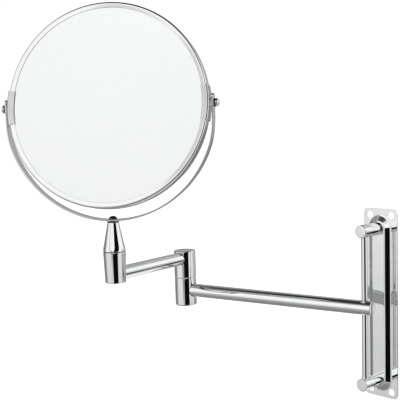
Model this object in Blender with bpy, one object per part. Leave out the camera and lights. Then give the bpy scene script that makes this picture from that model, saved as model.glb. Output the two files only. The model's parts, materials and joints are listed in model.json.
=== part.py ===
"""Extendable two-sided shaving mirror on a wall plate with a height rail.

World frame, in metres: the wall is the plane y = 0, the plate's four screws are centred on the origin,
the object stands out along -Y and +Z is up. Each moving group hangs from an empty that sits on its
joint's axis.
"""

import math

import bmesh
import bpy
from mathutils import Matrix

MM = 0.001
GAP = 0.3 * MM  # left between neighbouring pieces
OVERRUN = MM  # how far a cutter runs past the face that it opens

# Wall plate: pressed sheet with a hollow obround rib
PLATE_WIDTH = 39 * MM
PLATE_HEIGHT = 188 * MM
PLATE_CORNER = 5 * MM
SHEET = 1.2 * MM
RIB_HEIGHT = 4 * MM  # how far the rib stands out of the sheet
RIB_FOOT = 12 * MM  # half width where the rib leaves the sheet
RIB_TOP = 7.2 * MM  # half width of its flat top
SCREW_SPACING_X = 24 * MM
SCREW_SPACING_Z = 175 * MM
SCREW_HOLE_RADIUS = 3.5 * MM

# Posts and rail
POST_HEIGHT = 75 * MM  # of each post's axis above and below the origin
POST_RADIUS = 6.3 * MM
POST_REACH = 33.3 * MM  # from the wall to the posts' front faces
RAIL_RADIUS = 3 * MM
RAIL_OFFSET = 27.2 * MM  # from the wall to the rail's axis
RAIL_IN_POST = 2.5 * MM  # how far the rail runs past the posts' axes
POST_SCREW_RADIUS = 2.4 * MM
POST_SCREW_END = 14.5 * MM
POST_SCREW_HEAD_RADIUS = 4.6 * MM
POST_SCREW_HEAD_BASE = 2.6 * MM
LOCK_WASHER_RADIUS = 4.4 * MM

# Arms
TUBE_RADIUS = 7 * MM
TUBE_WALL = 1 * MM
TUBE_WEB = 0.9 * MM  # metal left in a barrel between its bore and the tube's socket
INNER_LENGTH = 208.2 * MM  # rail axis to elbow axis
OUTER_LENGTH = 107.5 * MM  # elbow axis to post axis
INNER_LEVEL = 0.7 * MM
OUTER_LEVEL = 35.3 * MM
TUBE_PAST_RAIL = 7.7 * MM
INNER_REST = math.radians(193)
ELBOW_REST = math.radians(84.7)
HEAD_REST = math.radians(-242.4)
TILT_REST = math.radians(-9.5)

# Sleeve and friction brake inside the inner arm
SLEEVE_RADIUS = 4.5 * MM
SLEEVE_HEIGHT = 12.4 * MM
SLEEVE_CLEARANCE = 0.2 * MM  # the sleeve runs on the rail with less play than the other pieces
PAD_START = 4 * MM
SPRING_RADIUS = 4.2 * MM
SPRING_WIRE = 0.6 * MM
SPRING_TURNS = 5
SPRING_START = 10.2 * MM
SPRING_END = 20.2 * MM
STOP_LENGTH = 3 * MM
PLUG_LENGTH = 1.5 * MM

# Elbow: two barrels on one pin
BARREL_RADIUS = 11.7 * MM
BARREL_BOTTOM = -16.2 * MM
BARREL_JOINT = 14.8 * MM
BARREL_TOP = 43.8 * MM
JOINT_HALF_GAP = 0.5 * MM  # a washer lies in each joint between two barrels
PIN_RADIUS = 4 * MM
PIN_FLOOR = -12 * MM
PIN_END = 39.5 * MM
PIN_THREAD = 2.9 * MM
ELBOW_WASHER_RADIUS = 11.2 * MM
WAVE_RADIUS = 6.8 * MM
WAVE_HEIGHT = 0.7 * MM
NUT_POCKET_RADIUS = 7.7 * MM
NUT_POCKET_FLOOR = 32 * MM
NUT_RADIUS = 5.77 * MM
NUT_HEIGHT = 5 * MM
ELBOW_CAP_HEIGHT = 1.8 * MM

# Mirror post: socket below, cone above, joined by a spindle
SOCKET_BOTTOM = 27.2 * MM
SOCKET_BOTTOM_RADIUS = 10.35 * MM
SOCKET_TOP_RADIUS = 11.26 * MM
SOCKET_JOINT = 58.4 * MM
SPINDLE_RADIUS = 3.7 * MM
SPINDLE_FOOT = 30 * MM
SPINDLE_TOP = 75 * MM
THREAD_FLOOR = 61 * MM  # of the spindle's threaded hole for the yoke screw
GROOVE_LOW = 32 * MM
GROOVE_HIGH = 33.3 * MM
GROOVE_RADIUS = 3.1 * MM
SWIVEL_CLIP_RADIUS = 5.5 * MM
SWIVEL_CLIP_SPAN = math.radians(290)
SWIVEL_CLIP_PLAY = 0.25 * MM
SWIVEL_WASHER_RADIUS = 10.66 * MM
CLIP_POCKET_RADIUS = 6.1 * MM
CLIP_POCKET_TOP = 33.5 * MM
BOTTOM_CAP_HEIGHT = 1.5 * MM
CONE_SHOULDER_HEIGHT = 6 * MM
CONE_SHOULDER_RADIUS = 10.3 * MM
CONE_TOP = 87.3 * MM
CONE_TOP_RADIUS = 5.7 * MM
YOKE_SCREW_RADIUS = 2.4 * MM
YOKE_SCREW_END = 62 * MM
YOKE_SCREW_HEAD_RADIUS = 4.1 * MM
YOKE_SCREW_HEAD_HEIGHT = 3 * MM
YOKE_WASHER_RADIUS = 5.8 * MM

# Yoke: half-round flat strip with straight ends
MIRROR_LEVEL = 200.7 * MM
YOKE_DROP = 5.9 * MM  # the yoke's centre lies this far below the mirror's
YOKE_RADIUS = 106.2 * MM
YOKE_THICKNESS = 1.8 * MM
YOKE_WIDTH = 10 * MM
YOKE_PAST_PIVOT = 9 * MM
YOKE_CORNER = 3 * MM
YOKE_PINCH = 1.7 * MM  # each end is sprung in towards the mirror by this much
YOKE_PINCH_HEIGHT = 35 * MM  # below the yoke's centre, where the inward bend starts
YOKE_END = YOKE_RADIUS - YOKE_PINCH  # from the head's axis to the outer faces of the ends

# Mirror: channel rim round two glasses
RIM_RADIUS = 100 * MM
RIM_HALF_DEPTH = 8 * MM
RIM_WALL = 1 * MM
RIM_LIP_RADIUS = 94.4 * MM
RIM_LIP_FALL = 0.8 * MM  # the lips slope in towards the glass by this much
RIM_CORNER = 1.3 * MM
GLASS_RADIUS = 98.6 * MM
GLASS_FACE = 6.1 * MM
PLAIN_THICKNESS = 3 * MM
MAGNIFYING_THICKNESS = 2 * MM
MAGNIFYING_SAG = 4.5 * MM
CLIP_RADIUS = 101 * MM
CLIP_SPAN = math.radians(19.6)
PIVOT_SCREW_RADIUS = 2 * MM
PIVOT_HOLE_RADIUS = 2.3 * MM
PIVOT_HEAD_RADIUS = 4.2 * MM
PIVOT_HEAD_HEIGHT = 3.3 * MM
PIVOT_SCREW_END = 99.2 * MM
HEAD_WASHER_RADIUS = 4 * MM
HEAD_WASHER_TOP = 106.2 * MM
SPACER_RADIUS = 4.5 * MM

ROUND_STEPS = 24  # steps round the barrels, posts and tubes
SMALL_STEPS = 16  # steps round screws, washers and the rail
RING_STEPS = 48  # steps round the rim and the glasses


def material(name, colour, roughness, metallic):
    made = bpy.data.materials.new(name)
    made.use_nodes = True
    shader = made.node_tree.nodes["Principled BSDF"]
    shader.inputs["Base Color"].default_value = (*colour, 1.0)
    shader.inputs["Roughness"].default_value = roughness
    shader.inputs["Metallic"].default_value = metallic
    return made


def clear_scene():
    for old in list(bpy.data.objects):
        bpy.data.objects.remove(old, do_unlink=True)


def frame_empty(name, parent=None, location=(0, 0, 0), rotation=(0, 0, 0)):
    empty = bpy.data.objects.new(name, None)
    bpy.context.scene.collection.objects.link(empty)
    empty.parent = parent
    empty.location = location
    empty.rotation_euler = rotation
    return empty


def solid(name, shape, finish, parent=None, location=(0, 0, 0), rotation=(0, 0, 0)):
    """Turns a bmesh into a named, smooth-shaded object."""
    bmesh.ops.recalc_face_normals(shape, faces=shape.faces)
    mesh = bpy.data.meshes.new(name)
    shape.to_mesh(mesh)
    shape.free()
    mesh.materials.append(finish)
    mesh.shade_smooth()
    mesh.set_sharp_from_angle(angle=math.radians(35))
    made = bpy.data.objects.new(name, mesh)
    bpy.context.scene.collection.objects.link(made)
    made.parent = parent
    made.location = location
    made.rotation_euler = rotation
    return made


def turned_shape(outline, steps=ROUND_STEPS, turn=2 * math.pi):
    """Spins (radius, height) points about Z. A full turn of a loop gives a ring, an outline that starts and
    ends on the axis gives a solid, and a part turn gives a capped sector."""
    shape = bmesh.new()
    corners = [shape.verts.new((radius, 0, height)) for radius, height in outline]
    on_axis = outline[0][0] == 0 and outline[-1][0] == 0
    if turn == 2 * math.pi:
        rims = [shape.edges.new(pair) for pair in zip(corners, corners[1:])]
        if not on_axis:
            rims.append(shape.edges.new((corners[-1], corners[0])))
        start = corners + rims
    else:
        start = [shape.faces.new(corners)]
    bmesh.ops.spin(shape, geom=start, cent=(0, 0, 0), axis=(0, 0, 1), angle=turn, steps=steps,
                   use_duplicate=False)
    bmesh.ops.remove_doubles(shape, verts=shape.verts, dist=0.001 * MM)
    return shape


def turned(name, outline, finish, parent=None, location=(0, 0, 0), rotation=(0, 0, 0),
           steps=ROUND_STEPS):
    return solid(name, turned_shape(outline, steps), finish, parent, location, rotation)


def disc_outline(radius, low, high, edge=0.0):
    """Outline of a plain cylinder, with a chamfer of this size on both edges."""
    if edge == 0:
        return [(0, low), (radius, low), (radius, high), (0, high)]
    lower = [(0, low), (radius - edge, low), (radius, low + edge)]
    upper = [(radius, high - edge), (radius - edge, high), (0, high)]
    return lower + upper


def ring_outline(inner, outer, low, high):
    return [(inner, low), (outer, low), (outer, high), (inner, high)]


def dome_outline(radius, height, base, shank_radius, shank_end, steps=4):
    """Outline of a domed screw that points down: shank below, dome above the base."""
    points = [(0, shank_end), (shank_radius, shank_end), (shank_radius, base), (radius, base)]
    for step in range(1, steps + 1):
        turn = math.pi / 2 * step / steps
        points.append((radius * math.cos(turn) if step < steps else 0, base + height * math.sin(turn)))
    return points


def cut(target, cutter):
    """Takes the cutter out of the target, and leaves it out of the part."""
    cutter.hide_render = True
    cutter.display_type = "WIRE"
    modifier = target.modifiers.new("cut_" + cutter.name, "BOOLEAN")
    modifier.operation = "DIFFERENCE"
    modifier.object = cutter


def drill(target, radius, low, high, location=(0, 0, 0), rotation=(0, 0, 0)):
    """Cuts a round hole that runs from low to high along its own Z axis."""
    count = len(target.modifiers)
    cutter = turned(f"drill_{target.name}_{count}", disc_outline(radius, low, high), target.active_material,
                    target.parent, location, rotation)
    cut(target, cutter)


ALONG_X = (0, math.pi / 2, 0)  # turns a piece's own +Z to +X
ALONG_MINUS_X = (0, -math.pi / 2, 0)
TO_FRONT = (math.pi / 2, 0, 0)  # turns a piece's own +Z to -Y


def obround_loop(half_width, centre_distance, steps=10):
    """(x, z) points round a rib with half-round ends."""
    points = []
    for end, start_turn in ((1, 0), (-1, math.pi)):
        for step in range(steps + 1):
            turn = start_turn + math.pi * step / steps
            points.append((half_width * math.cos(turn),
                           end * centre_distance + half_width * math.sin(turn)))
    return points


def rounded_rectangle(width, height, corner, steps=4):
    points = []
    for quarter in range(4):
        side_x = 1 if quarter in (0, 3) else -1
        side_z = 1 if quarter in (0, 1) else -1
        for step in range(steps + 1):
            turn = math.pi / 2 * (quarter + step / steps)
            points.append((side_x * (width / 2 - corner) + corner * math.cos(turn),
                           side_z * (height / 2 - corner) + corner * math.sin(turn)))
    return points


def block_between(back_loop, back_y, front_loop, front_y):
    """A closed block with one loop of (x, z) points at its back and one at its front."""
    shape = bmesh.new()
    back = [shape.verts.new((x, back_y, z)) for x, z in back_loop]
    front = [shape.verts.new((x, front_y, z)) for x, z in front_loop]
    shape.faces.new(back)
    shape.faces.new(front)
    count = len(back)
    for i in range(count):
        j = (i + 1) % count
        shape.faces.new((back[i], back[j], front[j], front[i]))
    return shape


def make_wall_plate(chrome):
    """A flat sheet with a raised rib, hollow behind so that the metal stays one sheet thick."""
    sheet_loop = rounded_rectangle(PLATE_WIDTH, PLATE_HEIGHT, PLATE_CORNER)
    plate = solid("wall_plate", block_between(sheet_loop, 0, sheet_loop, -SHEET), chrome)
    rib_root = SHEET / 2
    rib_crest = SHEET + RIB_HEIGHT
    foot = obround_loop(RIB_FOOT, POST_HEIGHT)
    top = obround_loop(RIB_TOP, POST_HEIGHT)
    rib = solid("rib", block_between(foot, -rib_root, top, -rib_crest), chrome)
    rib.hide_render = True
    rib.display_type = "WIRE"
    join = plate.modifiers.new("rib", "BOOLEAN")
    join.operation = "UNION"
    join.object = rib
    narrowing = (RIB_FOOT - RIB_TOP) / (rib_crest - rib_root)
    wall = SHEET * math.sqrt(1 + narrowing ** 2)
    hollow_foot = obround_loop(RIB_FOOT + narrowing * (rib_root + OVERRUN) - wall, POST_HEIGHT)
    hollow_top = obround_loop(RIB_FOOT - narrowing * (RIB_HEIGHT - rib_root) - wall, POST_HEIGHT)
    cut(plate, solid("rib_hollow", block_between(hollow_foot, OVERRUN, hollow_top, -RIB_HEIGHT), chrome))
    for x in (-SCREW_SPACING_X / 2, SCREW_SPACING_X / 2):
        for z in (-SCREW_SPACING_Z / 2, SCREW_SPACING_Z / 2):
            drill(plate, SCREW_HOLE_RADIUS, -OVERRUN, SHEET + OVERRUN, (x, 0, z), TO_FRONT)
    for z in (-POST_HEIGHT, POST_HEIGHT):
        drill(plate, POST_SCREW_RADIUS + GAP, RIB_HEIGHT - OVERRUN, RIB_HEIGHT + SHEET + OVERRUN,
              (0, 0, z), TO_FRONT)
    return plate


def make_post(name, side, chrome):
    """A turned standoff: bored from behind for its screw and from the side for the rail."""
    place = (0, 0, side * POST_HEIGHT)
    post = turned(name, disc_outline(POST_RADIUS, SHEET + RIB_HEIGHT + GAP, POST_REACH, 0.5 * MM), chrome,
                  None, place, TO_FRONT)
    drill(post, POST_SCREW_RADIUS + GAP, 0, POST_SCREW_END + OVERRUN, place, TO_FRONT)
    rail_hole_low = POST_HEIGHT - 2 * POST_RADIUS
    rail_hole_high = POST_HEIGHT + RAIL_IN_POST + GAP
    turn = (0, 0, 0) if side > 0 else (math.pi, 0, 0)
    drill(post, RAIL_RADIUS + GAP, rail_hole_low, rail_hole_high, (0, -RAIL_OFFSET, 0), turn)
    return post


def make_post_screw(name, side, steel):
    head_face = GAP
    edge = 0.5 * MM
    outline = [(0, head_face), (POST_SCREW_HEAD_RADIUS - edge, head_face),
               (POST_SCREW_HEAD_RADIUS, head_face + edge), (POST_SCREW_HEAD_RADIUS, POST_SCREW_HEAD_BASE),
               (POST_SCREW_RADIUS, POST_SCREW_HEAD_BASE), (POST_SCREW_RADIUS, POST_SCREW_END - edge),
               (POST_SCREW_RADIUS - edge, POST_SCREW_END), (0, POST_SCREW_END)]
    return turned(name, outline, steel, None, (0, 0, side * POST_HEIGHT), TO_FRONT, SMALL_STEPS)


def make_lock_washer(name, side, steel):
    low = POST_SCREW_HEAD_BASE + GAP
    outline = ring_outline(POST_SCREW_RADIUS + GAP, LOCK_WASHER_RADIUS, low, RIB_HEIGHT - GAP)
    return turned(name, outline, steel, None, (0, 0, side * POST_HEIGHT), TO_FRONT, SMALL_STEPS)


def make_rail(chrome):
    end = POST_HEIGHT + RAIL_IN_POST
    outline = disc_outline(RAIL_RADIUS, -end, end, 0.3 * MM)
    return turned("rail", outline, chrome, None, (0, -RAIL_OFFSET, 0), steps=SMALL_STEPS)


def make_rail_sleeve(nylon):
    outline = ring_outline(RAIL_RADIUS + SLEEVE_CLEARANCE, SLEEVE_RADIUS, -SLEEVE_HEIGHT / 2,
                           SLEEVE_HEIGHT / 2)
    return turned("rail_sleeve", outline, nylon, None, (0, -RAIL_OFFSET, INNER_LEVEL), steps=SMALL_STEPS)


def make_tube(name, start, end, level, chrome, parent):
    outline = ring_outline(TUBE_RADIUS - TUBE_WALL, TUBE_RADIUS, start, end)
    return turned(name, outline, chrome, parent, (0, 0, level), ALONG_X)


def make_friction_spring(steel, parent):
    """A coil spring about the inner arm's axis, closed at its ends."""
    points_per_turn = 10
    count = SPRING_TURNS * points_per_turn
    curve = bpy.data.curves.new("friction_spring", "CURVE")
    curve.dimensions = "3D"
    curve.bevel_depth = SPRING_WIRE
    curve.bevel_resolution = 1
    curve.use_fill_caps = True
    curve.materials.append(steel)
    coil = curve.splines.new("POLY")
    coil.points.add(count)
    for i in range(count + 1):
        turn = 2 * math.pi * i / points_per_turn
        along = SPRING_START + (SPRING_END - SPRING_START) * i / count
        coil.points[i].co = (along, SPRING_RADIUS * math.cos(turn), SPRING_RADIUS * math.sin(turn), 1)
    spring = bpy.data.objects.new("friction_spring", curve)
    bpy.context.scene.collection.objects.link(spring)
    spring.parent = parent
    spring.location = (0, 0, INNER_LEVEL)
    return spring


def make_brake(nylon, steel, chrome, parent):
    """What holds the arm's height: a pad on the sleeve, a spring behind it, a stop and the end plug."""
    inside = TUBE_RADIUS - TUBE_WALL - GAP
    at_level = (0, 0, INNER_LEVEL)
    plug = disc_outline(inside, -TUBE_PAST_RAIL, -TUBE_PAST_RAIL + PLUG_LENGTH)
    turned("inner_arm_plug", plug, chrome, parent, at_level, ALONG_X)
    pad_outline = disc_outline(inside - 0.2 * MM, PAD_START, SPRING_START - SPRING_WIRE - GAP)
    pad = turned("friction_pad", pad_outline, nylon, parent, at_level, ALONG_X)
    drill(pad, SLEEVE_RADIUS + GAP, -TUBE_RADIUS - OVERRUN, TUBE_RADIUS + OVERRUN, at_level)
    make_friction_spring(steel, parent)
    stop_face = SPRING_END + SPRING_WIRE + GAP
    stop = disc_outline(inside, stop_face, stop_face + STOP_LENGTH)
    turned("spring_stop", stop, steel, parent, at_level, ALONG_X)


def make_inner_arm(chrome, nylon, steel, parent):
    tube_end = INNER_LENGTH - PIN_RADIUS - TUBE_WEB - GAP
    tube = make_tube("inner_arm_tube", -TUBE_PAST_RAIL, tube_end, INNER_LEVEL, chrome, parent)
    reach = TUBE_RADIUS + 2 * OVERRUN
    drill(tube, SLEEVE_RADIUS + GAP, -reach, reach, (0, 0, INNER_LEVEL))
    make_brake(nylon, steel, chrome, parent)


def make_elbow_lower(chrome, nylon, parent):
    """The lower barrel at the inner arm's far end, with the washer that lies on it."""
    place = (INNER_LENGTH, 0, 0)
    top = BARREL_JOINT - JOINT_HALF_GAP
    round_edge = 1.5 * MM
    round_steps = 3
    edge = 0.4 * MM
    outline = [(0, BARREL_BOTTOM)]
    for step in range(round_steps + 1):
        turn = math.pi / 2 * step / round_steps
        outline.append((BARREL_RADIUS - round_edge * (1 - math.sin(turn)),
                        BARREL_BOTTOM + round_edge * (1 - math.cos(turn))))
    outline += [(BARREL_RADIUS, top - edge), (BARREL_RADIUS - edge, top), (0, top)]
    barrel = turned("elbow_lower_barrel", outline, chrome, parent, place)
    drill(barrel, PIN_RADIUS + GAP, PIN_FLOOR, top + OVERRUN, place)
    drill(barrel, TUBE_RADIUS + GAP, PIN_RADIUS + TUBE_WEB, BARREL_RADIUS + 2 * OVERRUN,
          (INNER_LENGTH, 0, INNER_LEVEL), ALONG_MINUS_X)
    washer = ring_outline(PIN_RADIUS + GAP, ELBOW_WASHER_RADIUS, top + GAP,
                          BARREL_JOINT + JOINT_HALF_GAP - GAP)
    turned("elbow_washer", washer, nylon, parent, place)


def make_elbow_pin(steel, parent):
    """The shoulder pin of the lower barrel, with the wave washer and the nut that load the joint."""
    place = (INNER_LENGTH, 0, 0)
    foot = PIN_FLOOR + GAP
    shoulder = NUT_POCKET_FLOOR - GAP
    edge = 0.5 * MM
    pin = [(0, foot), (PIN_RADIUS, foot), (PIN_RADIUS, shoulder), (PIN_THREAD, shoulder),
           (PIN_THREAD, PIN_END - edge), (PIN_THREAD - edge, PIN_END), (0, PIN_END)]
    turned("elbow_pin", pin, steel, parent, place, steps=SMALL_STEPS)
    wave_low = NUT_POCKET_FLOOR + GAP
    wave = ring_outline(PIN_THREAD + GAP, WAVE_RADIUS, wave_low, wave_low + WAVE_HEIGHT)
    turned("elbow_wave_washer", wave, steel, parent, place, steps=SMALL_STEPS)
    nut_low = wave_low + WAVE_HEIGHT + GAP
    nut_outline = disc_outline(NUT_RADIUS, nut_low, nut_low + NUT_HEIGHT)
    nut = turned("elbow_nut", nut_outline, steel, parent, place, steps=6)
    drill(nut, PIN_THREAD + GAP, nut_low - OVERRUN, nut_low + NUT_HEIGHT + OVERRUN, place)


def make_elbow_upper(chrome, parent):
    low = BARREL_JOINT + JOINT_HALF_GAP
    edge = 0.4 * MM
    outline = [(PIN_RADIUS + GAP, low), (BARREL_RADIUS - edge, low), (BARREL_RADIUS, low + edge),
               (BARREL_RADIUS, BARREL_TOP - 2 * edge), (BARREL_RADIUS - 2 * edge, BARREL_TOP),
               (NUT_POCKET_RADIUS, BARREL_TOP), (NUT_POCKET_RADIUS, NUT_POCKET_FLOOR),
               (PIN_RADIUS + GAP, NUT_POCKET_FLOOR)]
    barrel = turned("elbow_upper_barrel", outline, chrome, parent)
    drill(barrel, TUBE_RADIUS + GAP, NUT_POCKET_RADIUS + TUBE_WEB, BARREL_RADIUS + 2 * OVERRUN,
          (0, 0, OUTER_LEVEL), ALONG_X)
    cap = disc_outline(NUT_POCKET_RADIUS - GAP, BARREL_TOP - ELBOW_CAP_HEIGHT, BARREL_TOP, 0.2 * MM)
    turned("elbow_cap", cap, chrome, parent)


def make_post_socket(chrome, parent):
    """The lower half of the mirror post, on the outer arm's far end, with the cap that closes it."""
    place = (OUTER_LENGTH, 0, 0)
    top = SOCKET_JOINT - JOINT_HALF_GAP
    bore = SPINDLE_RADIUS + GAP
    edge = 0.5 * MM
    outline = [(CLIP_POCKET_RADIUS, SOCKET_BOTTOM), (SOCKET_BOTTOM_RADIUS - edge, SOCKET_BOTTOM),
               (SOCKET_BOTTOM_RADIUS, SOCKET_BOTTOM + edge), (SOCKET_TOP_RADIUS, top - edge),
               (SOCKET_TOP_RADIUS - edge, top), (bore, top), (bore, CLIP_POCKET_TOP),
               (CLIP_POCKET_RADIUS, CLIP_POCKET_TOP)]
    socket = turned("post_socket", outline, chrome, parent, place)
    drill(socket, TUBE_RADIUS + GAP, CLIP_POCKET_RADIUS + TUBE_WEB, SOCKET_TOP_RADIUS + 2 * OVERRUN,
          (OUTER_LENGTH, 0, OUTER_LEVEL), ALONG_MINUS_X)
    cap = disc_outline(CLIP_POCKET_RADIUS - GAP, SOCKET_BOTTOM, SOCKET_BOTTOM + BOTTOM_CAP_HEIGHT)
    turned("post_bottom_cap", cap, chrome, parent, place)


def make_outer_arm(chrome, parent):
    start = NUT_POCKET_RADIUS + TUBE_WEB + GAP
    end = OUTER_LENGTH - CLIP_POCKET_RADIUS - TUBE_WEB - GAP
    make_tube("outer_arm_tube", start, end, OUTER_LEVEL, chrome, parent)


def cone_outline():
    """The cone's side bulges a little: straight above a rounded shoulder at its wide end."""
    low = SOCKET_JOINT + JOINT_HALF_GAP
    edge = 0.4 * MM
    bore = SPINDLE_RADIUS + GAP
    screw_bore = YOKE_SCREW_RADIUS + GAP
    narrowing = SOCKET_TOP_RADIUS - CONE_SHOULDER_RADIUS
    steps = 3
    outline = [(bore, low), (SOCKET_TOP_RADIUS - edge, low), (SOCKET_TOP_RADIUS, low + edge)]
    for step in range(1, steps + 1):
        share = step / steps
        outline.append((SOCKET_TOP_RADIUS - narrowing * share ** 1.5,
                        low + edge + (CONE_SHOULDER_HEIGHT - edge) * share))
    outline += [(CONE_TOP_RADIUS, CONE_TOP), (screw_bore, CONE_TOP), (screw_bore, SPINDLE_TOP + GAP),
                (bore, SPINDLE_TOP + GAP)]
    return outline


def make_mirror_post(chrome, steel, black, parent):
    turned("post_cone", cone_outline(), chrome, parent)
    thread_bore = YOKE_SCREW_RADIUS + GAP
    spindle = [(0, SPINDLE_FOOT), (SPINDLE_RADIUS, SPINDLE_FOOT), (SPINDLE_RADIUS, GROOVE_LOW),
               (GROOVE_RADIUS, GROOVE_LOW), (GROOVE_RADIUS, GROOVE_HIGH), (SPINDLE_RADIUS, GROOVE_HIGH),
               (SPINDLE_RADIUS, SPINDLE_TOP), (thread_bore, SPINDLE_TOP), (thread_bore, THREAD_FLOOR),
               (0, THREAD_FLOOR)]
    turned("swivel_spindle", spindle, steel, parent, steps=SMALL_STEPS)
    washer = ring_outline(SPINDLE_RADIUS + GAP, SWIVEL_WASHER_RADIUS,
                          SOCKET_JOINT - JOINT_HALF_GAP + GAP, SOCKET_JOINT + JOINT_HALF_GAP - GAP)
    turned("swivel_washer", washer, black, parent)
    clip = ring_outline(GROOVE_RADIUS + GAP, SWIVEL_CLIP_RADIUS, GROOVE_LOW + SWIVEL_CLIP_PLAY,
                        GROOVE_HIGH - SWIVEL_CLIP_PLAY)
    solid("swivel_clip", turned_shape(clip, SMALL_STEPS, SWIVEL_CLIP_SPAN), steel, parent)


def yoke_point(radius, turn):
    """(x, z) of a point on the yoke's arc, drawn in near the ends by the pinch."""
    across = radius * math.cos(turn)
    fall = radius * math.sin(turn)
    share = max(0, 1 + fall / YOKE_PINCH_HEIGHT)
    pinch = YOKE_PINCH * share ** 2 * (3 - 2 * share)
    return across - math.copysign(pinch, across), MIRROR_LEVEL - YOKE_DROP + fall


def yoke_loops():
    """(x, z) points of the strip's outer and inner faces, from one end to the other."""
    top = MIRROR_LEVEL + YOKE_PAST_PIVOT
    steps = 32
    loops = []
    for radius in (YOKE_RADIUS, YOKE_RADIUS - YOKE_THICKNESS):
        arc = [yoke_point(radius, math.pi * (1 + step / steps)) for step in range(steps + 1)]
        end = radius - YOKE_PINCH
        loops.append([(-end, top)] + arc + [(end, top)])
    return loops


def make_yoke(chrome, parent):
    yoke_bottom = MIRROR_LEVEL - YOKE_DROP - YOKE_RADIUS
    outer, inner = yoke_loops()
    section = outer + inner[::-1]
    shape = block_between(section, -YOKE_WIDTH / 2, section, YOKE_WIDTH / 2)
    top = MIRROR_LEVEL + YOKE_PAST_PIVOT - 0.01 * MM
    corners = [edge for edge in shape.edges
               if all(v.co.z > top for v in edge.verts)
               and abs(edge.verts[0].co.y - edge.verts[1].co.y) < YOKE_THICKNESS / 2]
    bmesh.ops.bevel(shape, geom=corners, offset=YOKE_CORNER, segments=3, affect="EDGES", profile=0.5)
    yoke = solid("yoke", shape, chrome, parent)
    through = 2 * YOKE_THICKNESS
    drill(yoke, YOKE_SCREW_RADIUS + GAP, yoke_bottom - through, yoke_bottom + through)
    for turn in (ALONG_X, ALONG_MINUS_X):
        drill(yoke, PIVOT_HOLE_RADIUS, YOKE_END - through, YOKE_END + through, (0, 0, MIRROR_LEVEL), turn)


def make_yoke_fixing(black, dark, parent):
    """The screw that clamps the yoke on the post, and the washer under the yoke."""
    yoke_bottom = MIRROR_LEVEL - YOKE_DROP - YOKE_RADIUS
    washer = ring_outline(YOKE_SCREW_RADIUS + GAP, YOKE_WASHER_RADIUS, CONE_TOP + GAP, yoke_bottom - GAP)
    turned("yoke_washer", washer, black, parent, steps=SMALL_STEPS)
    head_base = yoke_bottom + YOKE_THICKNESS + GAP
    screw = dome_outline(YOKE_SCREW_HEAD_RADIUS, YOKE_SCREW_HEAD_HEIGHT, head_base, YOKE_SCREW_RADIUS,
                         YOKE_SCREW_END)
    turned("yoke_screw", screw, dark, parent, steps=SMALL_STEPS)


def rim_outline():
    """Section of the channel: a side wall with a sloping lip at the front and at the back."""
    outer_side = [(RIM_RADIUS - RIM_CORNER, RIM_HALF_DEPTH), (RIM_RADIUS, RIM_HALF_DEPTH - RIM_CORNER)]
    inner_side = [(RIM_LIP_RADIUS, RIM_HALF_DEPTH - RIM_LIP_FALL - RIM_WALL * 0.8),
                  (RIM_RADIUS - RIM_WALL, RIM_HALF_DEPTH - RIM_WALL)]
    lip = (RIM_LIP_RADIUS, RIM_HALF_DEPTH - RIM_LIP_FALL)
    front = [lip] + outer_side
    back = [(radius, -height) for radius, height in reversed(front)]
    inside = [(radius, -height) for radius, height in inner_side]
    return front + back + inside + inner_side[::-1]


def sphere_arc(edge_height, sag, radius, steps=3):
    """(radius, height) points of a shallow dish, from its middle to its edge."""
    ball = (radius ** 2 + sag ** 2) / (2 * sag)
    points = []
    for step in range(steps + 1):
        at = radius * step / steps
        points.append((at, edge_height + sag - (ball - math.sqrt(ball ** 2 - at ** 2))))
    return points


def make_rim(chrome, parent):
    rim = turned("rim", rim_outline(), chrome, parent, (0, 0, 0), TO_FRONT, RING_STEPS)
    through = 3 * RIM_WALL
    for turn in (ALONG_X, ALONG_MINUS_X):
        drill(rim, PIVOT_HOLE_RADIUS, RIM_RADIUS - through, RIM_RADIUS + through, (0, 0, 0), turn)


def make_glasses(silvered, board, parent):
    plain = disc_outline(GLASS_RADIUS, GLASS_FACE - PLAIN_THICKNESS, GLASS_FACE, 0.3 * MM)
    turned("plain_glass", plain, silvered, parent, (0, 0, 0), TO_FRONT, RING_STEPS)
    outside = sphere_arc(-GLASS_FACE, MAGNIFYING_SAG, GLASS_RADIUS)
    inside = sphere_arc(-GLASS_FACE + MAGNIFYING_THICKNESS, MAGNIFYING_SAG, GLASS_RADIUS)
    turned("magnifying_glass", outside + inside[::-1], silvered, parent, (0, 0, 0), TO_FRONT, RING_STEPS)
    core_radius = GLASS_RADIUS - GAP
    dish = sphere_arc(-GLASS_FACE + MAGNIFYING_THICKNESS + GAP, MAGNIFYING_SAG, core_radius)
    flat = GLASS_FACE - PLAIN_THICKNESS - GAP
    core = dish + [(core_radius, flat), (0, flat)]
    turned("core_disc", core, board, parent, (0, 0, 0), TO_FRONT, RING_STEPS)


def clip_outline():
    """Section of a saddle that wraps the rim's side and both its lips."""
    lip = RIM_LIP_RADIUS - 0.6 * MM
    depth = RIM_HALF_DEPTH
    inside = [(lip, depth - 0.58 * MM), (RIM_RADIUS - 0.55 * MM, depth + 0.35 * MM),
              (RIM_RADIUS + GAP, depth - 0.55 * MM)]
    outside = [(lip, depth + 0.45 * MM), (RIM_RADIUS + 0.2 * MM, depth + 1.5 * MM),
               (CLIP_RADIUS, depth - 0.2 * MM)]
    inner_side = inside + [(radius, -height) for radius, height in reversed(inside)]
    outer_side = outside + [(radius, -height) for radius, height in reversed(outside)]
    return inner_side + outer_side[::-1]


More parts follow.
